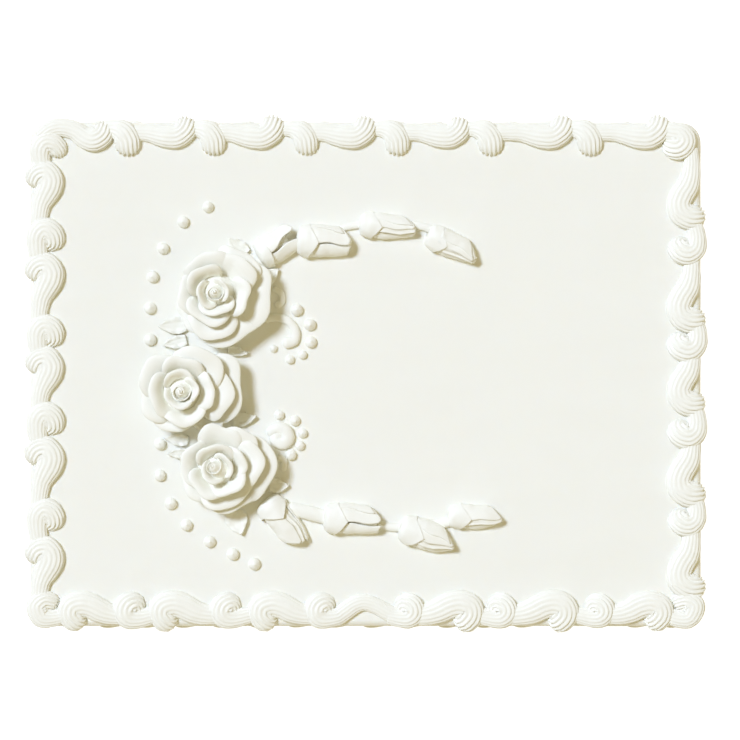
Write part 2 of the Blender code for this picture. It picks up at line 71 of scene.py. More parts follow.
def add_node(tree, kind, place, **values):
    """Adds a node of that kind and sets its own sockets by name."""
    made = tree.nodes.new(kind)
    made.location = (place[0] * NODE_STEP[0], place[1] * NODE_STEP[1])
    for socket, value in values.items():
        made.inputs[socket.replace("_", " ")].default_value = value
    return made


def make_icing(name, light_tone, deep_tone, grain, grain_depth, stroke_depth, glow):
    """Whipped cream: a warm white with cloudy tone, a fine grain of air bubbles and soft strokes."""
    material = bpy.data.materials.new(name)
    material.use_nodes = True
    tree = material.node_tree
    shader = tree.nodes["Principled BSDF"]
    place = add_node(tree, "ShaderNodeTexCoord", (-6, 0))
    cloud = add_node(tree, "ShaderNodeTexNoise", (-4, 1), Scale=CLOUD_SCALE, Detail=4.0, Roughness=0.55)
    bubbles = add_node(tree, "ShaderNodeTexNoise", (-4, 0), Scale=grain, Detail=3.0, Roughness=0.6)
    stretch = add_node(tree, "ShaderNodeMapping", (-5, -1))
    stretch.inputs["Scale"].default_value = STROKE_SCALE
    strokes = add_node(tree, "ShaderNodeTexNoise", (-4, -1), Scale=1.0, Detail=5.0, Roughness=0.5)
    for texture in (cloud, bubbles):
        tree.links.new(place.outputs["Object"], texture.inputs["Vector"])
    tree.links.new(place.outputs["Object"], stretch.inputs["Vector"])
    tree.links.new(stretch.outputs["Vector"], strokes.inputs["Vector"])
    tone = add_node(tree, "ShaderNodeMix", (-2, 1))
    tone.data_type = "RGBA"
    tone.inputs[6].default_value = (*deep_tone, 1)
    tone.inputs[7].default_value = (*light_tone, 1)
    tree.links.new(cloud.outputs["Fac"], tone.inputs["Factor"])
    tree.links.new(tone.outputs[2], shader.inputs["Base Color"])
    sheen = add_node(tree, "ShaderNodeMapRange", (-2, 0))
    sheen.inputs["To Min"].default_value = ROUGHNESS[0]
    sheen.inputs["To Max"].default_value = ROUGHNESS[1]
    tree.links.new(bubbles.outputs["Fac"], sheen.inputs["Value"])
    tree.links.new(sheen.outputs["Result"], shader.inputs["Roughness"])
    pits = add_node(tree, "ShaderNodeBump", (-2, -1), Strength=1.0, Distance=grain_depth)
    waves = add_node(tree, "ShaderNodeBump", (-1, -1), Strength=1.0, Distance=stroke_depth)
    tree.links.new(bubbles.outputs["Fac"], pits.inputs["Height"])
    tree.links.new(strokes.outputs["Fac"], waves.inputs["Height"])
    tree.links.new(pits.outputs["Normal"], waves.inputs["Normal"])
    tree.links.new(waves.outputs["Normal"], shader.inputs["Normal"])
    shader.inputs["Subsurface Weight"].default_value = glow
    shader.inputs["Subsurface Radius"].default_value = GLOW_COLOUR
    shader.inputs["Subsurface Scale"].default_value = GLOW_DEPTH
    shader.inputs["Specular IOR Level"].default_value = SHINE
    return material


def put(name, shape, finish, slot, *nodes):
    """Makes a piece of the cake from a bmesh. It stands for the named solids, where there are any."""
    mesh = bpy.data.meshes.new(name)
    shape.to_mesh(mesh)
    shape.free()
    mesh.shade_smooth()
    mesh.materials.append(finish)
    piece = bpy.data.objects.new(name, mesh)
    bpy.context.scene.collection.objects.link(piece)
    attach(piece, "root")
    if nodes:
        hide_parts(*nodes)
    return piece


spread_icing = make_icing(
    "spread_icing", light_tone=(0.958, 0.956, 0.875), deep_tone=(0.950, 0.945, 0.850),
    grain=900.0, grain_depth=0.00004, stroke_depth=0.0003, glow=0.35,
)
slab = bmesh.new()
slab_size = Matrix.Diagonal((CAKE_LENGTH, CAKE_WIDTH, CAKE_HEIGHT, 1))
bmesh.ops.create_cube(slab, size=1, matrix=slab_size)
bmesh.ops.translate(slab, verts=slab.verts, vec=(0, 0, CAKE_HEIGHT / 2))
upright = []
for edge in slab.edges:
    foot, head = edge.verts
    if abs(head.co.z - foot.co.z) > CAKE_HEIGHT / 2:
        upright.append(edge)
rounding = {"profile": 0.5, "affect": "EDGES", "material": -1}
bmesh.ops.bevel(slab, geom=upright, offset=CORNER_RADIUS, segments=CORNER_STEPS, **rounding)
for level, radius, steps in (
    (CAKE_HEIGHT, TOP_EDGE_RADIUS, TOP_EDGE_STEPS),
    (0, FOOT_EDGE_RADIUS, FOOT_EDGE_STEPS),
):
    rim = []
    for edge in slab.edges:
        if all(abs(corner.co.z - level) < SAME_LEVEL for corner in edge.verts):
            rim.append(edge)
    bmesh.ops.bevel(slab, geom=rim, offset=radius, segments=steps, **rounding)
# Cuts across the flat faces, so that they can follow the spatula's strokes
for axis, size in ((0, CAKE_LENGTH), (1, CAKE_WIDTH), (2, CAKE_HEIGHT)):
    count = round(size / CUT_SPACING)
    normal = [0, 0, 0]
    normal[axis] = 1
    for step in range(1, count):
        place = [0, 0, 0]
        place[axis] = size * step / count - (size / 2 if axis < 2 else 0)
        everything = slab.verts[:] + slab.edges[:] + slab.faces[:]
        bmesh.ops.bisect_plane(slab, geom=everything, plane_co=place, plane_no=normal, dist=SAME_PLACE)
# The strokes run along the cake's length and sink just below its true size
for corner in slab.verts:
    where = Vector((corner.co.x / SPREAD_LENGTH, corner.co.y / SPREAD_WIDTH, corner.co.z / SPREAD_WIDTH))
    depth = SPREAD_DEPTH * (noise.noise(where) - SPREAD_SINK)
    if corner.co.z > FOOT_EDGE_RADIUS:
        corner.co += corner.normal * depth
slab.normal_update()
put("iced_slab", slab, spread_icing, "icing", "cake_body")

# Piped border on top
# Shells of stiff whipped cream pressed from a star tip just inside the top edge, one behind the other.
# Each starts as a fan of ridges, curls outwards or inwards by turns and is drawn out under the next one.
MM = 0.001
UP = Vector((0, 0, 1))
CREAM_GAP = 0.0003
TOP = CAKE_HEIGHT + CREAM_GAP
CREAM_SINK = 0.0004
SEAM_GAP = 1e-7
UPRIGHT = 0.99
BORDER_INSET = 0.0094
RIDGES = 16
POINTS_PER_RIDGE = 5
RIDGE_DEPTH = 0.12
CREST_ROUNDNESS = 0.8
FAN_REACH = 3
START_RINGS = 7
START_DEPTH = 0.42
START_SHARE = 0.85
TAIL_SHARE = 0.3
POLE_SHARE = 0.03
BORDER_SETTLED = 0.43
BORDER_LIFT = 0.45
BORDER_ROUGHNESS = 0.00025
LUMP_SIZE = 0.004
SHOULDER = 0.78
RING_SPACING = 0.0009
SIZE_SPREAD = 0.04
# Stations of a shell in millimetres: along the run, towards its start's side, height, radius.
# The heights are those before BORDER_LIFT and BORDER_SETTLED press the cream down
SHELL_PATHS = {
    "back_out": (
        (-5.6, 6.6, -2.0, 7.0), (-5.4, 5.6, 1.6, 7.6), (-4.0, 3.0, 4.2, 7.4), (0.4, 0.4, 4.6, 7.4),
        (6.6, 0.5, 3.8, 7.2), (11.5, 1.2, 3.0, 6.4), (16.3, 2.2, 2.2, 5.6), (20.5, 2.7, 1.8, 5.1),
        (27.8, 2.7, 1.6, 4.8), (36.0, 2.4, 1.4, 4.6),
    ),
    "back_in": (
        (-5.4, 4.4, -2.0, 6.8), (-5.4, 4.0, 1.6, 7.6), (-4.9, 0.5, 3.8, 7.9), (-2.0, -3.4, 3.6, 7.3),
        (3.0, -5.2, 1.4, 5.6), (9.0, -5.4, 0.0, 4.2),
    ),
    "left_out": (
        (-1.2, 5.0, -2.0, 6.4), (-2.4, 5.0, 1.2, 7.2), (-4.8, 3.0, 3.4, 7.6), (-5.0, -0.8, 3.8, 7.8),
        (-0.6, -3.6, 3.8, 8.2), (4.2, -3.0, 3.8, 8.0), (9.1, -0.6, 3.4, 7.2), (14.5, 1.8, 2.8, 6.0),
        (21.1, 3.0, 2.2, 5.3), (29.0, 3.6, 1.6, 4.8), (36.0, 3.6, 1.4, 4.6),
    ),
    "left_in": (
        (0.6, 3.6, -2.0, 6.2), (-1.0, 4.8, 1.2, 7.2), (-4.6, 3.4, 3.4, 7.6), (-6.2, -0.6, 3.8, 7.5),
        (-2.8, -3.8, 3.6, 7.1), (3.0, -4.4, 3.0, 6.3), (9.7, -3.6, 2.2, 5.6), (15.7, -2.4, 1.6, 4.8),
    ),
    "right_out": (
        (-5.6, 5.2, -2.0, 7.2), (-6.0, 4.4, 1.2, 8.2), (-5.8, 0.8, 3.4, 8.4), (-3.0, -3.2, 3.8, 8.2),
        (2.5, -4.4, 3.8, 7.8), (8.0, -2.4, 3.6, 7.6), (13.5, 1.0, 3.0, 7.2), (19.9, 2.9, 2.2, 6.2),
        (27.8, 3.6, 1.6, 5.1), (36.0, 3.0, 1.4, 4.6),
    ),
    "right_in": (
        (-2.4, 3.2, -0.6, 7.2), (-3.0, 4.0, 1.4, 7.8), (-5.0, 1.6, 3.4, 8.2), (-5.4, -2.0, 3.8, 7.9),
        (-2.8, -5.6, 3.8, 6.8), (3.0, -6.6, 3.0, 5.9), (9.7, -5.4, 2.2, 5.3), (15.7, -3.6, 1.6, 4.8),
    ),
    "front_out": (
        (-0.6, 4.2, -2.0, 6.8), (-1.8, 4.4, 1.2, 7.9), (-4.2, 1.0, 3.4, 8.3), (-3.0, -3.0, 3.8, 8.3),
        (2.4, -4.8, 3.8, 8.2), (8.2, -3.6, 3.6, 8.0), (13.9, -0.8, 3.0, 7.7), (19.9, 1.3, 2.2, 6.8),
        (27.2, 2.1, 1.6, 6.0), (35.0, 2.0, 1.4, 5.2),
    ),
    "front_in": (
        (-1.2, 3.0, -0.6, 7.2), (-2.2, 4.2, 1.4, 7.7), (-5.0, 2.4, 3.4, 8.1), (-5.4, -1.0, 3.8, 8.0),
        (-2.6, -3.6, 3.6, 6.9), (2.4, -3.9, 3.0, 5.9), (8.5, -2.7, 2.2, 5.3), (15.1, -1.2, 1.6, 4.8),
    ),
}
OUT = -1
# Where the shells of each run start, from the first one piped. The last place is where the last tail ends
LEFT_HEADS = (0.117, 0.081, 0.061, 0.023, 0.005, -0.030, -0.050, -0.088, -0.110, -0.142)
RIGHT_HEADS = (-0.122, -0.085, -0.066, -0.0315, -0.0115, 0.021, 0.039, 0.079, 0.101, 0.136)
BACK_HEADS = (
    0.171, 0.130, 0.113, 0.070, 0.051, 0.014, -0.006,
    -0.041, -0.062, -0.097, -0.114, -0.149, -0.165,
)
FRONT_LEFT_HEADS = (-0.174, -0.139, -0.119, -0.081, -0.059, -0.024, -0.015)
FRONT_RIGHT_HEADS = (0.174, 0.138, 0.116, 0.079, 0.059, 0.023, 0.014)
# Shells at the corners and the arch at the middle of the front, in millimetres: x, y, height, radius
CORNER_PATHS = {
    "back": (
        (-158.4, 147.4, -2.0, 5.6), (-158.4, 147.0, 1.2, 6.6), (-159.8, 144.0, 3.4, 7.3),
        (-164.5, 141.8, 3.8, 7.5), (-170.0, 143.4, 3.4, 6.6), (-174.9, 146.8, 2.8, 6.0),
        (-180.3, 148.6, 2.4, 5.7), (-185.7, 148.9, 2.0, 5.6), (-191.0, 147.2, 1.8, 5.6),
        (-196.0, 143.0, 1.6, 5.4),
    ),
    "left": (
        (-186.0, 135.4, -2.0, 5.2), (-186.2, 136.6, 1.2, 6.2), (-188.6, 139.2, 3.2, 6.8),
        (-193.0, 139.8, 3.6, 7.0), (-196.0, 136.2, 3.4, 6.9), (-196.0, 130.8, 2.6, 6.0),
        (-194.8, 124.7, 2.0, 5.1),
    ),
    "right": (
        (186.2, 138.8, -2.0, 7.2), (187.2, 137.8, 1.2, 8.2), (190.2, 138.0, 3.4, 8.4),
        (192.2, 141.0, 3.8, 7.8), (190.2, 144.6, 3.4, 7.2), (185.5, 146.0, 2.6, 6.4),
        (180.1, 146.3, 1.8, 5.6),
    ),
    "front_left": (
        (-189.6, -137.6, -2.0, 5.0), (-190.6, -137.0, 1.2, 5.8), (-194.6, -136.6, 3.4, 6.6),
        (-198.0, -140.4, 3.8, 6.9), (-195.4, -146.4, 3.4, 6.4), (-189.4, -147.1, 2.6, 5.4),
        (-183.3, -145.9, 1.8, 4.8),
    ),
    "front_right": (
        (189.6, -137.6, -2.0, 5.0), (190.6, -137.0, 1.2, 5.8), (194.6, -136.4, 3.4, 6.8),
        (198.2, -140.0, 3.8, 7.0), (195.6, -146.4, 3.4, 6.4), (190.0, -147.4, 2.6, 5.7),
        (183.9, -145.9, 1.8, 5.1),
    ),
}
FRONT_ARCH = (
    (-24.0, -147.8, 1.6, 4.6), (-17.6, -146.6, 2.2, 5.3), (-12.2, -143.0, 2.6, 5.5),
    (-7.0, -139.4, 2.8, 5.4), (-1.0, -137.6, 2.8, 5.2), (5.4, -139.3, 2.6, 5.0),
    (11.8, -142.8, 2.4, 5.0), (17.4, -145.6, 2.0, 4.9), (23.0, -147.6, 1.6, 4.4),
)
piping_hand = random.Random(21)
piped_icing = make_icing(
    "piped_icing", light_tone=(0.966, 0.963, 0.884), deep_tone=(0.956, 0.951, 0.863),
    grain=1400.0, grain_depth=0.00006, stroke_depth=0.00005, glow=0.04,
)


def mapped_grid(columns, rows, place):
    """A grid of quads with each corner moved to place(u, v), where u and v run from 0 to 1."""
    sheet = bmesh.new()
    bmesh.ops.create_grid(sheet, x_segments=columns, y_segments=rows, size=0.5)
    for corner in sheet.verts:
        corner.co = place(corner.co.x + 0.5, corner.co.y + 0.5)
    return sheet


def gather(whole, shape):
    """Adds a bmesh to another and lets go of it."""
    mesh = bpy.data.meshes.new("gathered")
    shape.to_mesh(mesh)
    shape.free()
    whole.from_mesh(mesh)
    bpy.data.meshes.remove(mesh)


def drawn_line(stations, spacing=RING_SPACING):
    """A smooth line through the stations. A station and each point of the line is a place and a radius."""
    line = []
    ends = [stations[0]] + list(stations) + [stations[-1]]
    for before, start, end, after in zip(ends, ends[1:], ends[2:], ends[3:]):
        steps = max(2, math.ceil((end[0] - start[0]).length / spacing))
        for step in range(steps):
            t = step / steps
            shares = (
                (-t + 2 * t * t - t ** 3) / 2, (2 - 5 * t * t + 3 * t ** 3) / 2,
                (t + 4 * t * t - 3 * t ** 3) / 2, (-t * t + t ** 3) / 2,
            )
            point = Vector((0, 0, 0))
            radius = 0
            for share, station in zip(shares, (before, start, end, after)):
                point += share * station[0]
                radius += share * station[1]
            line.append((point, radius))
    line.append((Vector(stations[-1][0]), stations[-1][1]))
    return line


def rounded_ends(line, start_share, end_share, rings):
    """Closes both ends of a line with domes: rings that shrink towards a point beyond the end."""
    domes = []
    for first, second, share in ((line[0], line[1], start_share), (line[-1], line[-2], end_share)):
        point, radius = first
        back = (point - second[0]).normalized()
        dome = []
        for step in range(rings, 0, -1):
            angle = math.pi / 2 * step / rings
            beyond = point + back * radius * share * math.sin(angle)
            dome.append((beyond, radius * max(math.cos(angle), POLE_SHARE)))
        domes.append(dome)
    return domes[0] + line + domes[1][::-1]


def turned_frames(points):
    """How a section is turned at each point: upright at the far end, with the least roll on the way."""
    travels = []
    for earlier, later in zip(points[:1] + points[:-1], points[1:] + points[-1:]):
        travels.append((later - earlier).normalized())
    travel = travels[-1]
    left = UP.cross(travel).normalized() if abs(travel.z) < UPRIGHT else Vector((1, 0, 0))
    turn = Matrix((left, travel.cross(left), travel)).transposed().to_quaternion()
    frames = [turn]
    for earlier in reversed(travels[:-1]):
        turn = travel.rotation_difference(earlier) @ turn
        travel = earlier
        frames.insert(0, turn)
    return frames


def rope(line, sides, section, shoulder=1.0):
    """A closed rope. The section gives the share of the radius for an angle and a ring's number.
    A shoulder under 1 makes its back flatter and its sides steeper."""
    points = [point for point, _ in line]
    frames = turned_frames(points)
    last = len(line) - 1

    def place(u, v):
        ring = round(v * last)
        angle = math.tau * (round(u * sides) % sides) / sides
        reach = line[ring][1] * section(angle, ring)
        rise = math.sin(angle)
        if rise > 0:
            rise = rise ** shoulder
        return points[ring] + frames[ring] @ Vector((reach * math.cos(angle), reach * rise, 0))

    shape = mapped_grid(sides, last, place)
    bmesh.ops.remove_doubles(shape, verts=shape.verts, dist=SEAM_GAP)
    rims = [edge for edge in shape.edges if edge.is_boundary]
    bmesh.ops.holes_fill(shape, edges=rims, sides=0)
    bmesh.ops.recalc_face_normals(shape, faces=shape.faces)
    return shape


def star_rope(line, ridges=RIDGES, depth=RIDGE_DEPTH, shoulder=1.0):
    """Cream from a star tip: rounded ridges with narrow valleys, cut deeper where it starts."""

    def section(angle, ring):
        crest = abs(math.cos(ridges * (angle - math.pi / 2) / 2)) ** CREST_ROUNDNESS
        start = max(0, 1 - ring / (FAN_REACH * START_RINGS))
        return 1 - (depth + (START_DEPTH - depth) * start) * (1 - crest)

    closed = rounded_ends(line, START_SHARE, TAIL_SHARE, START_RINGS)
    return rope(closed, ridges * POINTS_PER_RIDGE, section, shoulder)


def settle(shape, roughness, lump_size, settled):
    """Cream sags and stands on the cake: the shape is lowered to a share and made slightly uneven."""
    for corner in shape.verts:
        corner.co += corner.normal * roughness * noise.noise(corner.co / lump_size)
        corner.co.z = max(CAKE_HEIGHT - CREAM_SINK, TOP + (corner.co.z - TOP) * settled)


def shell(kind, x, y, along, curl, length):
    """One shell that starts at a place on its side's line and is drawn out along it."""
    size = 1 + piping_hand.uniform(-SIZE_SPREAD, SIZE_SPREAD)
    along = Vector((*along, 0))
    aside = Vector((-along.y, along.x, 0)) * curl
    origin = Vector((x, y, TOP))
    stations = []
    for ahead, away, height, radius in SHELL_PATHS[kind]:
        if ahead * MM > length + MM:
            break
        place = origin + size * MM * (along * ahead + aside * away + UP * height * BORDER_LIFT)
        stations.append((place, radius * size * MM))
    return star_rope(drawn_line(stations), shoulder=SHOULDER)


def run_of_shells(whole, side, heads, along, line, mirror=1):
    """Shells along one side, curling out and in by turns, each tail reaching under the next head."""
    curl = OUT
    for place, following in zip(heads, heads[1:]):
        x, y = (line, place) if along[1] else (place, line)
        kind = side + ("_out" if curl == OUT else "_in")
        gather(whole, shell(kind, x, y, along, curl * mirror, abs(following - place)))
        curl = -curl


def fixed_shell(path):
    """A shell whose stations are places on the cake, for a corner or the arch."""
    stations = []
    for x, y, height, radius in path:
        stations.append((Vector((x * MM, y * MM, TOP + height * MM * BORDER_LIFT)), radius * MM))
    return star_rope(drawn_line(stations), shoulder=SHOULDER)


side_line = CAKE_LENGTH / 2 - BORDER_INSET
end_line = CAKE_WIDTH / 2 - BORDER_INSET
borders = {name: bmesh.new() for name in ("left", "right", "back", "front")}
run_of_shells(borders["left"], "left", LEFT_HEADS, (0, -1), -side_line)
run_of_shells(borders["right"], "right", RIGHT_HEADS, (0, 1), side_line)
run_of_shells(borders["back"], "back", BACK_HEADS, (-1, 0), end_line)
run_of_shells(borders["front"], "front", FRONT_LEFT_HEADS, (1, 0), -end_line)
run_of_shells(borders["front"], "front", FRONT_RIGHT_HEADS, (-1, 0), -end_line, mirror=-1)
for corner_name, path in CORNER_PATHS.items():
    gather(borders[corner_name.split("_")[0]], fixed_shell(path))
gather(borders["front"], fixed_shell(FRONT_ARCH))
for name, shape in borders.items():
    shape.normal_update()
    settle(shape, BORDER_ROUGHNESS, LUMP_SIZE, BORDER_SETTLED)
    put("border_shells_" + name, shape, piped_icing, "piping", "border_" + name)

# Piped border at the foot
# Smaller shells of the same cream close the joint between the cake's sides and what it stands on.
# They follow the sides and go round the corners, each laid over the tail of the one before.
FOOT_PITCH = 0.0235
FOOT_RIDGES = 10
FOOT_RIDGE_DEPTH = 0.16
FOOT_RADIUS = 0.0063
FOOT_RISE = 0.0062
FOOT_LEVEL = 0.55
FOOT_OUT = 0.0004
FOOT_LIMIT = 0.0069
FOOT_SIZE_SPREAD = 0.05
FOOT_RING_SPACING = 0.0012
# Stations of a foot shell: share of the pitch, share of the radius
FOOT_STATIONS = ((0.0, 0.70), (0.12, 0.95), (0.30, 1.0), (0.55, 0.85), (0.85, 0.66), (1.15, 0.60))


def along_foot(distance, long_half, short_half):
    """The point and the outward direction at a distance along a side and round the corner at its end."""
    straight = 2 * long_half
    angle = max(0.0, distance - straight) / CORNER_RADIUS
    outwards = Vector((math.sin(angle), -math.cos(angle), 0))
    centre = Vector((min(distance, straight) - long_half, CORNER_RADIUS - short_half, 0))
    return centre + outwards * CORNER_RADIUS, outwards


# Each side is piped as the front one and then turned to its place
for name, half_length, half_width, turn in (
    ("front", CAKE_LENGTH / 2, CAKE_WIDTH / 2, 0),
    ("right", CAKE_WIDTH / 2, CAKE_LENGTH / 2, 90),
    ("back", CAKE_LENGTH / 2, CAKE_WIDTH / 2, 180),
    ("left", CAKE_WIDTH / 2, CAKE_LENGTH / 2, 270),
):
    straight = 2 * (half_length - CORNER_RADIUS)
    whole_run = straight + CORNER_RADIUS * math.pi / 2
    count = round(whole_run / FOOT_PITCH)
    foot = bmesh.new()
    for number in range(count):
        size = 1 + piping_hand.uniform(-FOOT_SIZE_SPREAD, 0)
        stations = []
        for share, swell in FOOT_STATIONS:
            distance = whole_run * (number + share) / count
            point, outwards = along_foot(min(distance, whole_run), half_length - CORNER_RADIUS, half_width)
            rise = FOOT_RISE * (FOOT_LEVEL + (1 - FOOT_LEVEL) * swell) * size
            if distance < whole_run + MM:
                stations.append((point + outwards * FOOT_OUT + UP * rise, FOOT_RADIUS * swell * size))
        gather(foot, star_rope(drawn_line(stations, FOOT_RING_SPACING), FOOT_RIDGES, FOOT_RIDGE_DEPTH))
    for corner in foot.verts:
        corner.co.z = max(corner.co.z, 0)
        corner.co.y = max(corner.co.y, -half_width - FOOT_LIMIT)
        corner.co.x = min(corner.co.x, half_length + FOOT_LIMIT)
    bmesh.ops.rotate(foot, verts=foot.verts, matrix=Matrix.Rotation(math.radians(turn), 3, "Z"))
    put("foot_shells_" + name, foot, piped_icing, "piping", "foot_" + name)

# Roses
# Three open roses of the same cream, made on a flower nail and set on the cake side by side.
# Each has a coiled bud and petals round it that open row by row, thick and rolled over at their rims.
PETAL_COLUMNS = 18
PETAL_ROWS = 8
PETAL_THICKNESS = 0.0009
PETAL_FOOT_SHARE = 0.55
PETAL_FOOT_HEIGHT = 0.52
PETAL_HOLD = 0.8
PETAL_TILT = 0.05
END_REACH = 0.32
END_HEIGHT = 0.38
RIM_SQUARENESS = 3.4
RIM_ROUNDNESS = 0.6
USUAL_REACH = 0.02
PETAL_LIP = 0.93
LIP_DROP = 0.0004
PETAL_WAVE = 0.0008
WAVES_OUT = (4.4, 8.0)
WAVES_UP = 5.0
CORE_RADIUS = 0.0150
# Heights and radii of the core
CORE_PROFILE = ((0.0, CORE_RADIUS), (0.0100, 0.0134), (0.0150, 0.0108), (0.0195, 0.0060))
CORE_SIDES = 20
CORE_SPACING = 0.0025
CORE_END = 0.5
CORE_END_RINGS = 3
PLUG_HEIGHT = 0.0248
PLUG_RADIUS = 0.0027
PLUG_LEAN = 0.8
COIL_COLUMNS = 72
COIL_ROWS = 6
COIL_HEIGHT = 0.0275
COIL_FALL = 0.0022
COIL_FOOT = 0.012
COIL_FOOT_SHARE = 0.88
COIL_START = 0.0004
COIL_PITCH = 0.00125
COIL_WAVE = 0.0003
COIL_WAVES = 9
BUD_TURNS = 2.2
LOOSE_TURNS = 0.75
LOOSE_REACH = 0.0024
LOOSE_FALL = 0.0012
# Where each rose stands, how far its bud leans, where its coil starts in degrees, and its petals:
# bearing in degrees, reach, half span in degrees, height
ROSES = {
    "rose_back": ((-0.09, 0.049), (0.0, 0.0), 58, (
        (20, 0.009, 75, 0.0255), (200, 0.0105, 80, 0.025), (280, 0.0145, 65, 0.024),
        (130, 0.0175, 60, 0.023), (250, 0.02, 60, 0.0215), (350, 0.0215, 45, 0.0225),
        (45, 0.027, 45, 0.02), (105, 0.0245, 50, 0.0195), (185, 0.022, 50, 0.0185),
        (265, 0.028, 50, 0.0175), (300, 0.0335, 55, 0.013), (355, 0.035, 50, 0.014),
        (50, 0.031, 40, 0.015), (225, 0.0265, 40, 0.012),
    )),
    "rose_middle": ((-0.11, -0.01), (0.0, 0.0), 20, (
        (10, 0.011, 60, 0.0255), (250, 0.0105, 85, 0.025), (95, 0.013, 70, 0.0245),
        (0, 0.0205, 45, 0.0225), (280, 0.021, 55, 0.021), (190, 0.0195, 60, 0.0215),
        (85, 0.021, 50, 0.0225), (55, 0.029, 55, 0.0195), (355, 0.031, 45, 0.0175),
        (145, 0.0265, 50, 0.018), (200, 0.0255, 50, 0.0155), (250, 0.025, 50, 0.0135),
        (5, 0.0375, 50, 0.013), (322, 0.031, 35, 0.012),
    )),
    "rose_front": ((-0.088, -0.056), (-0.0035, 0.0015), 95, (
        (30, 0.0095, 80, 0.025), (220, 0.0095, 80, 0.0245), (100, 0.015, 70, 0.024),
        (310, 0.018, 60, 0.023), (20, 0.0175, 50, 0.023), (235, 0.019, 55, 0.022),
        (10, 0.0275, 45, 0.019), (165, 0.022, 60, 0.0185), (85, 0.026, 45, 0.019),
        (50, 0.028, 40, 0.018), (290, 0.025, 60, 0.0155), (0, 0.034, 55, 0.013),
        (300, 0.0285, 50, 0.012), (215, 0.024, 45, 0.012),
    )),
}
nail_hand = random.Random(5)


def petal(middle, bearing, reach, half_span, height):
    """A petal: a shallow cup that rises from the rose's core, uneven at its rim and lower at both ends."""
    foot = min(reach * PETAL_FOOT_SHARE, CORE_RADIUS * PETAL_HOLD)
    start = height * PETAL_FOOT_HEIGHT
    phase = nail_hand.uniform(0, math.tau)
    tilt = nail_hand.uniform(-PETAL_TILT, PETAL_TILT)

    def place(u, v):
        aside = 2 * u - 1
        angle = math.radians(bearing + aside * half_span)
        fullness = (1 - abs(aside) ** RIM_SQUARENESS) ** RIM_ROUNDNESS
        wave = math.sin(phase + aside * WAVES_OUT[0]) + 0.5 * math.sin(2 * phase + aside * WAVES_OUT[1])
        rim = foot + (reach - foot) * (END_REACH + (1 - END_REACH) * fullness) * (1 + tilt * aside)
        rim += PETAL_WAVE * wave * reach / USUAL_REACH
        top = start + (height - start) * (END_HEIGHT + (1 - END_HEIGHT) * fullness)
        top += 0.5 * PETAL_WAVE * math.sin(phase * 3 + aside * WAVES_UP)
        rise = math.sin(min(v / PETAL_LIP, 1) * math.pi / 2)
        roll = max(0.0, (v - PETAL_LIP) / (1 - PETAL_LIP))
        radial = foot + (rim - foot) * (0.5 * v + 0.5 * v * v)
        outwards = Vector((math.cos(angle), math.sin(angle), 0))
        return middle + outwards * radial + UP * (start + (top - start) * rise - LIP_DROP * roll ** 2)

    return mapped_grid(PETAL_COLUMNS, PETAL_ROWS, place)


def coil(middle, lean, start_bearing):
    """The closed bud: a strip of cream rolled tight and highest inside. Its last part stands away."""

    def place(u, v):
        turns = (BUD_TURNS + LOOSE_TURNS) * u
        angle = math.radians(start_bearing) + math.tau * turns
        loose = max(0.0, turns - BUD_TURNS) / LOOSE_TURNS
        radius = COIL_START + COIL_PITCH * turns + LOOSE_REACH * math.sin(loose * math.pi / 2)
        radius *= COIL_FOOT_SHARE + (1 - COIL_FOOT_SHARE) * v
        height = COIL_HEIGHT - COIL_FALL * u - LOOSE_FALL * loose ** 3
        height += COIL_WAVE * math.sin(COIL_WAVES * u)
        around = Vector((math.cos(angle), math.sin(angle), 0)) * radius
        return middle + around + lean * v ** 2 + UP * (COIL_FOOT + (height - COIL_FOOT) * v)

    return mapped_grid(COIL_COLUMNS, COIL_ROWS, place)


def round_section(angle, ring):
    """The section of cream from a plain round tip."""
    return 1


for name, (place_on_cake, lean, start_bearing, petals) in ROSES.items():
    middle = Vector((*place_on_cake, TOP))
    lean = Vector((*lean, 0))
    rose = coil(middle, lean, start_bearing)
    for entry in petals:
        gather(rose, petal(middle, *entry))
    rose.normal_update()
    bmesh.ops.solidify(rose, geom=rose.faces[:], thickness=PETAL_THICKNESS)
    core = [(middle + UP * height, radius) for height, radius in CORE_PROFILE]
    core.append((middle + UP * PLUG_HEIGHT + lean * PLUG_LEAN, PLUG_RADIUS))
    core_line = rounded_ends(drawn_line(core, CORE_SPACING), 0.0, CORE_END, CORE_END_RINGS)
    gather(rose, rope(core_line, CORE_SIDES, round_section))
    piece = put("piped_" + name, rose, piped_icing, "piping", name)
    softened = piece.modifiers.new("softened", "SUBSURF")
    softened.levels = 2
    softened.render_levels = 2

# Rosebuds
# Two sprays of half-open buds piped flat on the cake. Each is a roll of petals whose free edges run
# along it, open at its far end, with a pointed calyx laid over its foot.
SHEET_COLUMNS = 26
SHEET_ROWS = 20
BUD_PETAL_THICKNESS = 0.0010
# Shares of a bud's length, with the share of its half width there
BUD_SWELL = (
    (-0.06, 0.12), (-0.052, 0.50), (-0.025, 0.76), (0.02, 0.88), (0.12, 0.95), (0.36, 1.00), (0.58, 0.97),
)
BUD_WIDEST = 0.36
END_CURVE = (1.6, 0.6)
BUD_UNEVENNESS = 0.09
BUD_LUMPS = 2.5
BUD_CENTRE_SHARE = 0.12
BUD_LIFT = 0.28
BUD_FLATNESS = 0.80
BUD_SETTLED = 0.86
BUD_ROUGHNESS = 0.0003
EDGE_RUFFLE = 4.5
EDGE_WAVES = 8
EDGE_BEND = 1.3
EDGE_ROLL = 0.12
LAP_ROLL = 0.10
TOP_START = 0.16
TOP_SPAN = 130
TOP_SPREAD = 0.97
TOP_EDGE = 0.10
TOP_RIPPLE = 0.03
TOP_RIPPLES = (5, 3)
POINT_CUT = 0.36
POINT_BEND = 1.2
EDGE_NOTCH = 0.07
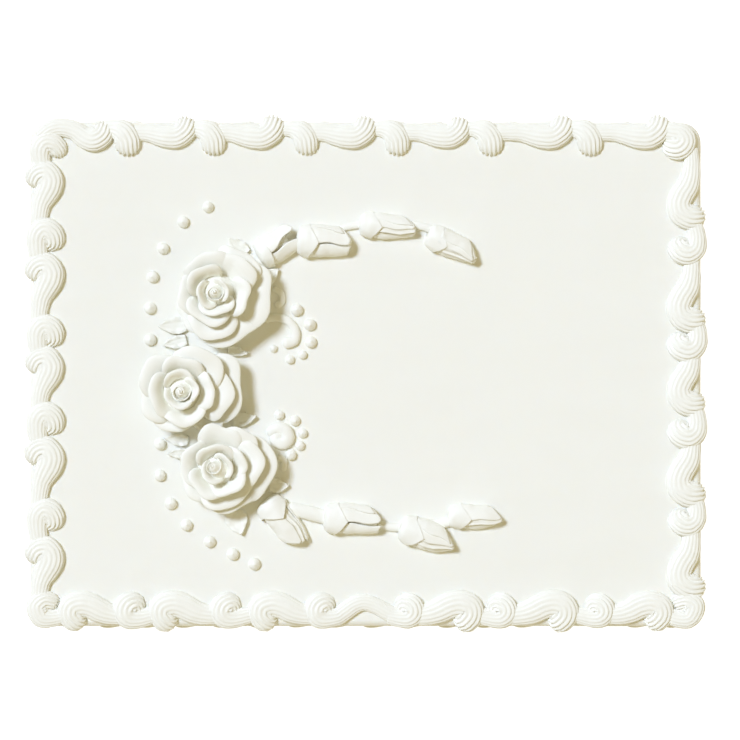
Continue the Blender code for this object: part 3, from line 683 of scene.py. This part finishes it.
NOTCH_WIDTH = 0.10
LAP_START = 0.17
LAP_SPAN = 132
LAP_SPREAD = 1.04
LAP_STEP = 0.04
LAP_EDGE = 0.07
LAP_SHORTER = 0.03
LAP_TURN = 14
FOLD_START = 0.18
FOLD_END = 0.97
FOLD_SPAN = 50
FOLD_PITCH = 24
FOLD_SPREAD = 0.93
FOLD_TAPER = 0.10
FOLD_EDGE = 0.08
FOLD_STEP = 0.05
LOWER_START = 0.14
LOWER_END = 0.98
LOWER_CUT = 0.16
LOWER_GAP = 4
LOWER_SIDE = 150
LOWER_SPREAD = 0.91
LOWER_RISE = 0.13
LOWER_BEND = 1.8
LOWER_RIPPLE = 0.03
LOWER_RIPPLES = 6
CALYX_START = -0.06
CALYX_SIDE = 0.17
CALYX_HALF_SPAN = 120
CALYX_POINT_SPAN = 62
CALYX_SPREAD = 1.03
CALYX_FLARE = 0.06
CALYX_END = 0.9
CALYX_TURN = 0.6
FILLING_SHARE = 0.76
FILLING_STEPS = 4
FILLING_SPACING = 0.0015
FILLING_SIDES = 32
FILLING_ENDS = (0.3, 0.9)
FILLING_END_RINGS = 5
# Foot and tip on the cake, width, where the top petal's edge lies and how it turns along the bud,
# width at the open end, folds below that edge, where petals lap over its back, how far the calyx reaches
# and how far in the bud is filled
BUDS = {
    "bud_back_1": ((-0.0625, 0.0718), (-0.0406, 0.0850), 0.0178, -12, 40, 0.92, 0, (), 0.24, 0.50),
    "bud_back_2": ((-0.0390, 0.0808), (-0.0075, 0.0790), 0.0182, -8, 0, 0.66, 0, (62,), 0.36, 0.80),
    "bud_back_3": ((-0.0009, 0.0903), (0.0313, 0.0873), 0.0140, -10, 4, 0.52, 1, (34,), 0.35, 0.80),
    "bud_back_4": ((0.0398, 0.0838), (0.0680, 0.0698), 0.0140, -26, -6, 0.52, 1, (10, 36), 0.38, 0.80),
    "bud_front_1": ((-0.0590, -0.0780), (-0.0380, -0.1030), 0.0170, 22, 0, 0.48, 2, (), 0.40, 0.80),
    "bud_front_2": ((-0.0225, -0.0862), (0.0108, -0.0897), 0.0174, -12, 12, 0.66, 0, (58,), 0.37, 0.72),
    "bud_front_3": ((0.0235, -0.0925), (0.0543, -0.1036), 0.0165, -20, 0, 0.24, 1, (40,), 0.41, 0.80),
    "bud_front_4": ((0.0525, -0.0853), (0.0832, -0.0868), 0.0140, -16, 8, 0.22, 1, (), 0.38, 0.80),
}


def swell_at(share, end):
    """Share of a bud's half width at a share of its length. The far end is as wide as given."""
    if share > BUD_SWELL[-1][0]:
        before, start = BUD_SWELL[-1]
        t = (share - before) / (1 - before)
        return start + (end - start) * t * t * (END_CURVE[0] - END_CURVE[1] * t)
    for (before, start), (after, finish) in zip(BUD_SWELL, BUD_SWELL[1:]):
        if share <= after:
            return start + (finish - start) * max(0, (share - before) / (after - before))
    return end


def height_at(share, swell):
    """Share of a bud's width at which its axis lies. The narrower far end is held up, which keeps
    its back level."""
    lift = BUD_LIFT * (1 - swell) if share > BUD_WIDEST else 0
    return BUD_CENTRE_SHARE * swell + lift


def wrapped(foot, length, width, end, first, last, reach, spread, turning=0):
    """A sheet of petal round the bud's axis between two angles: 0 is its back, positive its left side.
    reach gives where the sheet starts and ends along the bud at an angle, spread its share of the radius.
    The first edge turns along the bud."""
    side = UP.cross(length).normalized()

    def place(u, v):
        angle = first + (last - first) * u
        start, stop = reach(angle)
        share = start + (stop - start) * v
        swell = swell_at(share, end)
        ruffle = EDGE_RUFFLE * math.sin(EDGE_WAVES * v + foot.x / width) * (1 - u) ** 2
        turn = math.radians(angle + turning * v ** EDGE_BEND * (1 - u) + ruffle)
        bump = noise.noise(Vector((share * BUD_LUMPS, turn, foot.x / width)))
        radius = width / 2 * swell * (spread(u, v) + BUD_UNEVENNESS * bump)
        centre = foot + length * share + UP * width * height_at(share, swell)
        return centre + side * radius * math.sin(turn) + UP * radius * BUD_FLATNESS * math.cos(turn)

    return mapped_grid(SHEET_COLUMNS, SHEET_ROWS, place)


def near(distance, width):
    """1 at an edge, falling to nothing over about that width."""
    return math.exp(-((distance / width) ** 2))


def bud_petals(foot, length, width, fold, turning, end, folds, laps):
    """The top petal with its free edge at the fold, petals over its back, the folds below its edge
    and the petal that comes up from below."""
    down = 1 if fold > 0 else -1

    def far_end(angle):
        across = abs(angle - fold) / TOP_SPAN
        return 1.0 - POINT_CUT * across ** POINT_BEND - EDGE_NOTCH * near(across, NOTCH_WIDTH)

    def top_spread(u, v):
        ripple = math.sin(TOP_RIPPLES[0] * v + TOP_RIPPLES[1] * u)
        return TOP_SPREAD + TOP_EDGE * near(u, EDGE_ROLL) * v + TOP_RIPPLE * ripple

    def lower_spread(u, v):
        rise = math.sin(min(1, u * LOWER_BEND) * math.pi / 2)
        return LOWER_SPREAD + LOWER_RISE * rise + LOWER_RIPPLE * math.sin(LOWER_RIPPLES * v)

    top = wrapped(
        foot, length, width, end, fold, fold - down * TOP_SPAN,
        lambda angle: (TOP_START, far_end(angle)),
        top_spread,
        turning,
    )
    for number, lap in enumerate(laps):
        edge = fold - down * lap
        gather(top, wrapped(
            foot, length, width, end, edge, fold - down * LAP_SPAN,
            lambda angle: (LAP_START, far_end(angle) - LAP_SHORTER),
            lambda u, v, number=number: LAP_SPREAD + LAP_STEP * number + LAP_EDGE * near(u, LAP_ROLL) * v,
            turning / 2 - LAP_TURN,
        ))
    for number in range(folds):
        edge = fold + down * FOLD_PITCH * (number + 1)
        inner = FOLD_STEP * number
        gather(top, wrapped(
            foot, length, width, end, edge, edge - down * FOLD_SPAN,
            lambda angle, inner=inner: (FOLD_START, FOLD_END - inner),
            lambda u, v, inner=inner: FOLD_SPREAD - inner - FOLD_TAPER * u + FOLD_EDGE * near(u, EDGE_ROLL),
        ))
    edge = fold + down * (FOLD_PITCH * folds + LOWER_GAP)
    gather(top, wrapped(
        foot, length, width, end, edge, down * LOWER_SIDE,
        lambda angle: (LOWER_START, LOWER_END - LOWER_CUT * abs(angle - edge) / TOP_SPAN),
        lower_spread,
    ))
    return top


def calyx_sheet(foot, length, width, fold, calyx):
    """The calyx: a sheet all round the bud's foot, drawn out to a point beside the top petal's edge."""
    point_angle = fold * CALYX_TURN

    def reach(angle):
        point = max(0, 1 - abs(angle - point_angle) / CALYX_POINT_SPAN)
        return CALYX_START, CALYX_SIDE + (calyx - CALYX_SIDE) * point

    return wrapped(
        foot, length, width, CALYX_END, point_angle - CALYX_HALF_SPAN, point_angle + CALYX_HALF_SPAN,
        reach, lambda u, v: CALYX_SPREAD + CALYX_FLARE * v ** 3,
    )


def bud_filling(foot, length, width, end, filled):
    """The cream inside the roll, as far as the bud is filled."""
    core = []
    for step in range(FILLING_STEPS + 1):
        share = filled * step / FILLING_STEPS
        swell = swell_at(share, end)
        centre = foot + length * share + UP * width * height_at(share, swell)
        core.append((centre, width / 2 * swell * FILLING_SHARE))
    line = rounded_ends(drawn_line(core, FILLING_SPACING), *FILLING_ENDS, FILLING_END_RINGS)
    filling = rope(line, FILLING_SIDES, round_section)
    settle(filling, 0, 1, FILLING_SHARE)
    return filling


for name, (foot_place, tip_place, width, fold, turning, end, folds, laps, calyx, filled) in BUDS.items():
    foot = Vector((*foot_place, TOP))
    length = Vector((*tip_place, TOP)) - foot
    bud = bud_petals(foot, length, width, fold, turning, end, folds, laps)
    gather(bud, calyx_sheet(foot, length, width, fold, calyx))
    bud.normal_update()
    bmesh.ops.solidify(bud, geom=bud.faces[:], thickness=BUD_PETAL_THICKNESS)
    gather(bud, bud_filling(foot, length, width, end, filled))
    bud.normal_update()
    settle(bud, BUD_ROUGHNESS, LUMP_SIZE, BUD_SETTLED)
    put("piped_" + name, bud, piped_icing, "piping", name)

# Vines
# Plain lines of the same cream between the buds of each spray, pressed from a small round tip.
# They lie on the cake's top, with their ends under the buds.
LINE_SIDES = 20
LINE_SPACING = 0.0008
LINE_LIFT = 0.5
LINE_END = 0.8
LINE_END_RINGS = 4
LINE_ROUGHNESS = 0.0002
LINE_LUMP_SIZE = 0.003
LINE_SETTLED = 0.54
# Points of each line: x, y, radius
VINES = {
    "vine_back_1": ((-0.0150, 0.0880, 0.0019), (-0.0085, 0.0895, 0.0021), (-0.0010, 0.0905, 0.0021)),
    "vine_back_2": ((0.0290, 0.0905, 0.0023), (0.0350, 0.0892, 0.0025), (0.0420, 0.0870, 0.0025)),
    "vine_front_1": ((-0.0440, -0.0812, 0.0042), (-0.0315, -0.0842, 0.0045), (-0.0210, -0.0872, 0.0040)),
    "vine_front_2": ((0.0090, -0.0910, 0.0025), (0.0165, -0.0922, 0.0026), (0.0240, -0.0920, 0.0026)),
    "vine_front_3": ((0.0370, -0.0905, 0.0028), (0.0460, -0.0900, 0.0030), (0.0550, -0.0880, 0.0028)),
}


def plain_line(points):
    """A line of cream from a round tip, with rounded ends."""
    stations = [(Vector((x, y, TOP + LINE_LIFT * radius)), radius) for x, y, radius in points]
    line = rounded_ends(drawn_line(stations, LINE_SPACING), LINE_END, LINE_END, LINE_END_RINGS)
    shape = rope(line, LINE_SIDES, round_section)
    settle(shape, LINE_ROUGHNESS, LINE_LUMP_SIZE, LINE_SETTLED)
    return shape


for name, points in VINES.items():
    put("piped_" + name, plain_line(points), piped_icing, "piping", name)

# Scrolls
# Curled lines of the same cream beside the roses, pressed from the same round tip as the vines.
# The larger ones end in a fuller curl.
SCROLLS = {
    "scroll_back": (
        (-0.06, 0.0335, 0.0022), (-0.054, 0.0345, 0.0024), (-0.047, 0.0325, 0.0026),
        (-0.0425, 0.0265, 0.0028), (-0.043, 0.0205, 0.003), (-0.0475, 0.019, 0.0034),
    ),
    "scroll_back_small": (
        (-0.0545, 0.0515, 0.0018), (-0.051, 0.049, 0.002), (-0.0505, 0.044, 0.002), (-0.053, 0.042, 0.0022),
    ),
    "scroll_front": (
        (-0.0570, -0.0345, 0.0034), (-0.0525, -0.0325, 0.0040), (-0.0484, -0.0342, 0.0043),
        (-0.0472, -0.0385, 0.0044), (-0.0500, -0.0412, 0.0043), (-0.0538, -0.0400, 0.0040),
        (-0.0540, -0.0375, 0.0036), (-0.0522, -0.0368, 0.0034),
    ),
    "scroll_front_small": (
        (-0.0495, -0.0572, 0.0018), (-0.0491, -0.0522, 0.002), (-0.0515, -0.0502, 0.0022),
    ),
}
for name, points in SCROLLS.items():
    put("piped_" + name, plain_line(points), piped_icing, "piping", name)

# Leaves
# Small leaves of the same cream, folded along the rib and ruffled, with a pointed tip.
# They lie on the cake's top, with their feet under the roses' edges.
LEAF_COLUMNS = 24
LEAF_ROWS = 22
LEAF_THICKNESS = 0.0016
LEAF_BED = 0.0012
LEAF_LIFT = 0.0022
LEAF_FOLD = 0.0007
LEAF_WAVE = 0.0004
LEAF_WAVES = 2.6
LEAF_VEIN = 0.00014
LEAF_VEINS = 3
LEAF_BASE = 0.24
# Foot, tip and width
LEAVES = {
    "leaf_1": ((-0.072, 0.0725), (-0.082, 0.0820), 0.0095),
    "leaf_2": ((-0.063, 0.0560), (-0.0525, 0.0633), 0.0100),
    "leaf_3": ((-0.108, 0.0300), (-0.125, 0.0290), 0.0105),
    "leaf_4": ((-0.108, 0.0210), (-0.122, 0.0175), 0.0080),
    "leaf_5": ((-0.083, 0.0150), (-0.071, 0.0125), 0.0060),
    "leaf_6": ((-0.080, -0.0280), (-0.066, -0.0255), 0.0085),
    "leaf_7": ((-0.107, -0.0400), (-0.121, -0.0385), 0.0075),
    "leaf_8": ((-0.107, -0.0475), (-0.119, -0.0480), 0.0065),
    "leaf_9": ((-0.058, -0.0670), (-0.0465, -0.0672), 0.0090),
    "leaf_10": ((-0.0795, -0.0825), (-0.075, -0.0965), 0.0135),
}


def leaf(foot, tip, width):
    """A leaf: a sheet widest near its foot, lifted towards its tip."""
    start = Vector((*foot, TOP))
    length = Vector((*tip, TOP)) - start
    side = Vector((length.y, -length.x, 0)).normalized() * width / 2

    def place(u, v):
        aside = 2 * u - 1
        spread = math.sin(math.pi * (LEAF_BASE + (1 - LEAF_BASE) * v))
        wave = LEAF_WAVE * math.cos(LEAF_WAVES * math.tau * v) * aside
        vein = LEAF_VEIN * math.cos(math.pi * LEAF_VEINS * aside)
        height = LEAF_BED + LEAF_LIFT * v ** 2 + (LEAF_FOLD * abs(aside) + wave + vein) * spread
        return start + length * v + side * (aside * spread) + UP * height

    sheet = mapped_grid(LEAF_COLUMNS, LEAF_ROWS, place)
    bmesh.ops.remove_doubles(sheet, verts=sheet.verts, dist=SAME_PLACE)
    sheet.normal_update()
    bmesh.ops.solidify(sheet, geom=sheet.faces[:], thickness=LEAF_THICKNESS)
    bmesh.ops.recalc_face_normals(sheet, faces=sheet.faces)
    return sheet


for name, entry in LEAVES.items():
    put("piped_" + name, leaf(*entry), piped_icing, "piping", name)

# Dots
# Small drops of the same cream in an arc beside the roses and round the scrolls.
# Each is pressed from a round tip held upright and drawn up to a soft point.
DOT_SIDES = 24
DOT_SPACING = 0.0005
DOT_LEAN = 0.0005
# Where each dot stands and its radius
DOTS = (
    (-0.095, 0.101, 0.0034), (-0.11, 0.092, 0.0036), (-0.122, 0.076, 0.0036),
    (-0.1285, 0.059, 0.0037), (-0.13, 0.04, 0.0037), (-0.13, 0.021, 0.0038),
    (-0.124, -0.042, 0.0036), (-0.124, -0.061, 0.0036), (-0.1175, -0.078, 0.0037),
    (-0.108, -0.091, 0.0036), (-0.094, -0.101, 0.0036), (-0.08, -0.1085, 0.0037),
    (-0.067, -0.1145, 0.0037), (-0.0415, 0.039, 0.0038), (-0.0335, 0.03, 0.0037),
    (-0.033, 0.0195, 0.0036), (-0.038, 0.012, 0.0028), (-0.0455, 0.009, 0.0028),
    (-0.0555, 0.0155, 0.0024), (-0.052, -0.0245, 0.003), (-0.0425, -0.028, 0.0032),
    (-0.038, -0.0355, 0.003), (-0.0395, -0.043, 0.003), (-0.045, -0.0485, 0.0034),
)
# Height and radius of a dot as shares of its radius
DOT_PROFILE = (
    (-0.10, 0.90), (0.15, 1.00), (0.40, 0.96), (0.62, 0.80),
    (0.80, 0.54), (0.92, 0.28), (1.00, 0.13), (1.08, 0.03),
)
drops = bmesh.new()
for x, y, radius in DOTS:
    lean = Vector((piping_hand.uniform(-1, 1), piping_hand.uniform(-1, 1), 0)) * DOT_LEAN
    stations = []
    for share, swell in DOT_PROFILE:
        centre = Vector((x, y, CAKE_HEIGHT)) + UP * share * radius + lean * max(0, share) ** 2
        stations.append((centre, radius * swell))
    gather(drops, rope(drawn_line(stations, DOT_SPACING), DOT_SIDES, round_section))
put("drops", drops, piped_icing, "piping")

# Floor, lamps and camera
# The cake stands on a plain pale table, seen from straight above. A soft lamp lights it from the upper
# left, a wide weak one fills in from the lower right, and a third one below stands for the table's glow.
PIXEL = 0.000604
PICTURE_WIDTH = 740
CAKE_MIDDLE = (365.5, 374.5)
CAMERA_RISE = 1.5
CAMERA_X = (PICTURE_WIDTH / 2 - CAKE_MIDDLE[0]) * PIXEL
CAMERA_Y = (CAKE_MIDDLE[1] - PICTURE_WIDTH / 2) * PIXEL
CAMERA_SIGHT = 100
SENSOR = 36
TABLE_SIZE = 40
TABLE_GREY = (0.35, 0.35, 0.35, 1)
ROOM_COLOUR = (0.388, 0.324, 0.164, 1)
# Lamps: name, spread in degrees, strength, colour, and where the light comes from
LAMPS = (
    ("soft_lamp", 16, 3.02, (0.662, 0.762, 1.0), (-0.60, 0.455, 1.0)),
    ("fill_lamp", 80, 0.42, (1.0, 0.93, 0.78), (0.70, -0.55, 0.35)),
    ("table_glow", 170, 1.5, (0.85, 0.92, 1.0), (0.0, 0.0, -1.0)),
)

ground = bmesh.new()
bmesh.ops.create_grid(ground, x_segments=1, y_segments=1, size=TABLE_SIZE)
floor_mesh = bpy.data.meshes.new("table_top")
ground.to_mesh(floor_mesh)
ground.free()
table_finish = bpy.data.materials.new("table_finish")
table_finish.use_nodes = True
table_shader = table_finish.node_tree.nodes["Principled BSDF"]
table_shader.inputs["Base Color"].default_value = TABLE_GREY
table_shader.inputs["Roughness"].default_value = 0.9
table_shader.inputs["Specular IOR Level"].default_value = 0.1
table_shader.inputs["Emission Color"].default_value = (1, 1, 1, 1)
table_shader.inputs["Emission Strength"].default_value = 1.0
floor_mesh.materials.append(table_finish)
floor = bpy.data.objects.new("table_top", floor_mesh)
bpy.context.scene.collection.objects.link(floor)
floor.visible_diffuse = False
floor.visible_shadow = False

for name, spread, strength, tint, direction in LAMPS:
    lamp = bpy.data.lights.new(name, "SUN")
    lamp.angle = math.radians(spread)
    lamp.energy = strength
    lamp.color = tint
    lamp_object = bpy.data.objects.new(name, lamp)
    lamp_object.rotation_euler = Vector(direction).to_track_quat("Z", "Y").to_euler()
    bpy.context.scene.collection.objects.link(lamp_object)

world = bpy.data.worlds.new("room")
world.use_nodes = True
backdrop = world.node_tree.nodes["Background"]
backdrop.inputs["Color"].default_value = ROOM_COLOUR
backdrop.inputs["Strength"].default_value = 1.0
bpy.context.scene.world = world
bpy.context.scene.view_settings.view_transform = "Standard"

camera = bpy.data.cameras.new("camera")
camera.sensor_width = SENSOR
camera.lens = SENSOR * CAMERA_RISE / (PICTURE_WIDTH * PIXEL)
camera.clip_end = CAMERA_SIGHT
camera_object = bpy.data.objects.new("camera", camera)
camera_object.location = (CAMERA_X, CAMERA_Y, CAKE_HEIGHT + CAMERA_RISE)
bpy.context.scene.collection.objects.link(camera_object)
bpy.context.scene.camera = camera_object
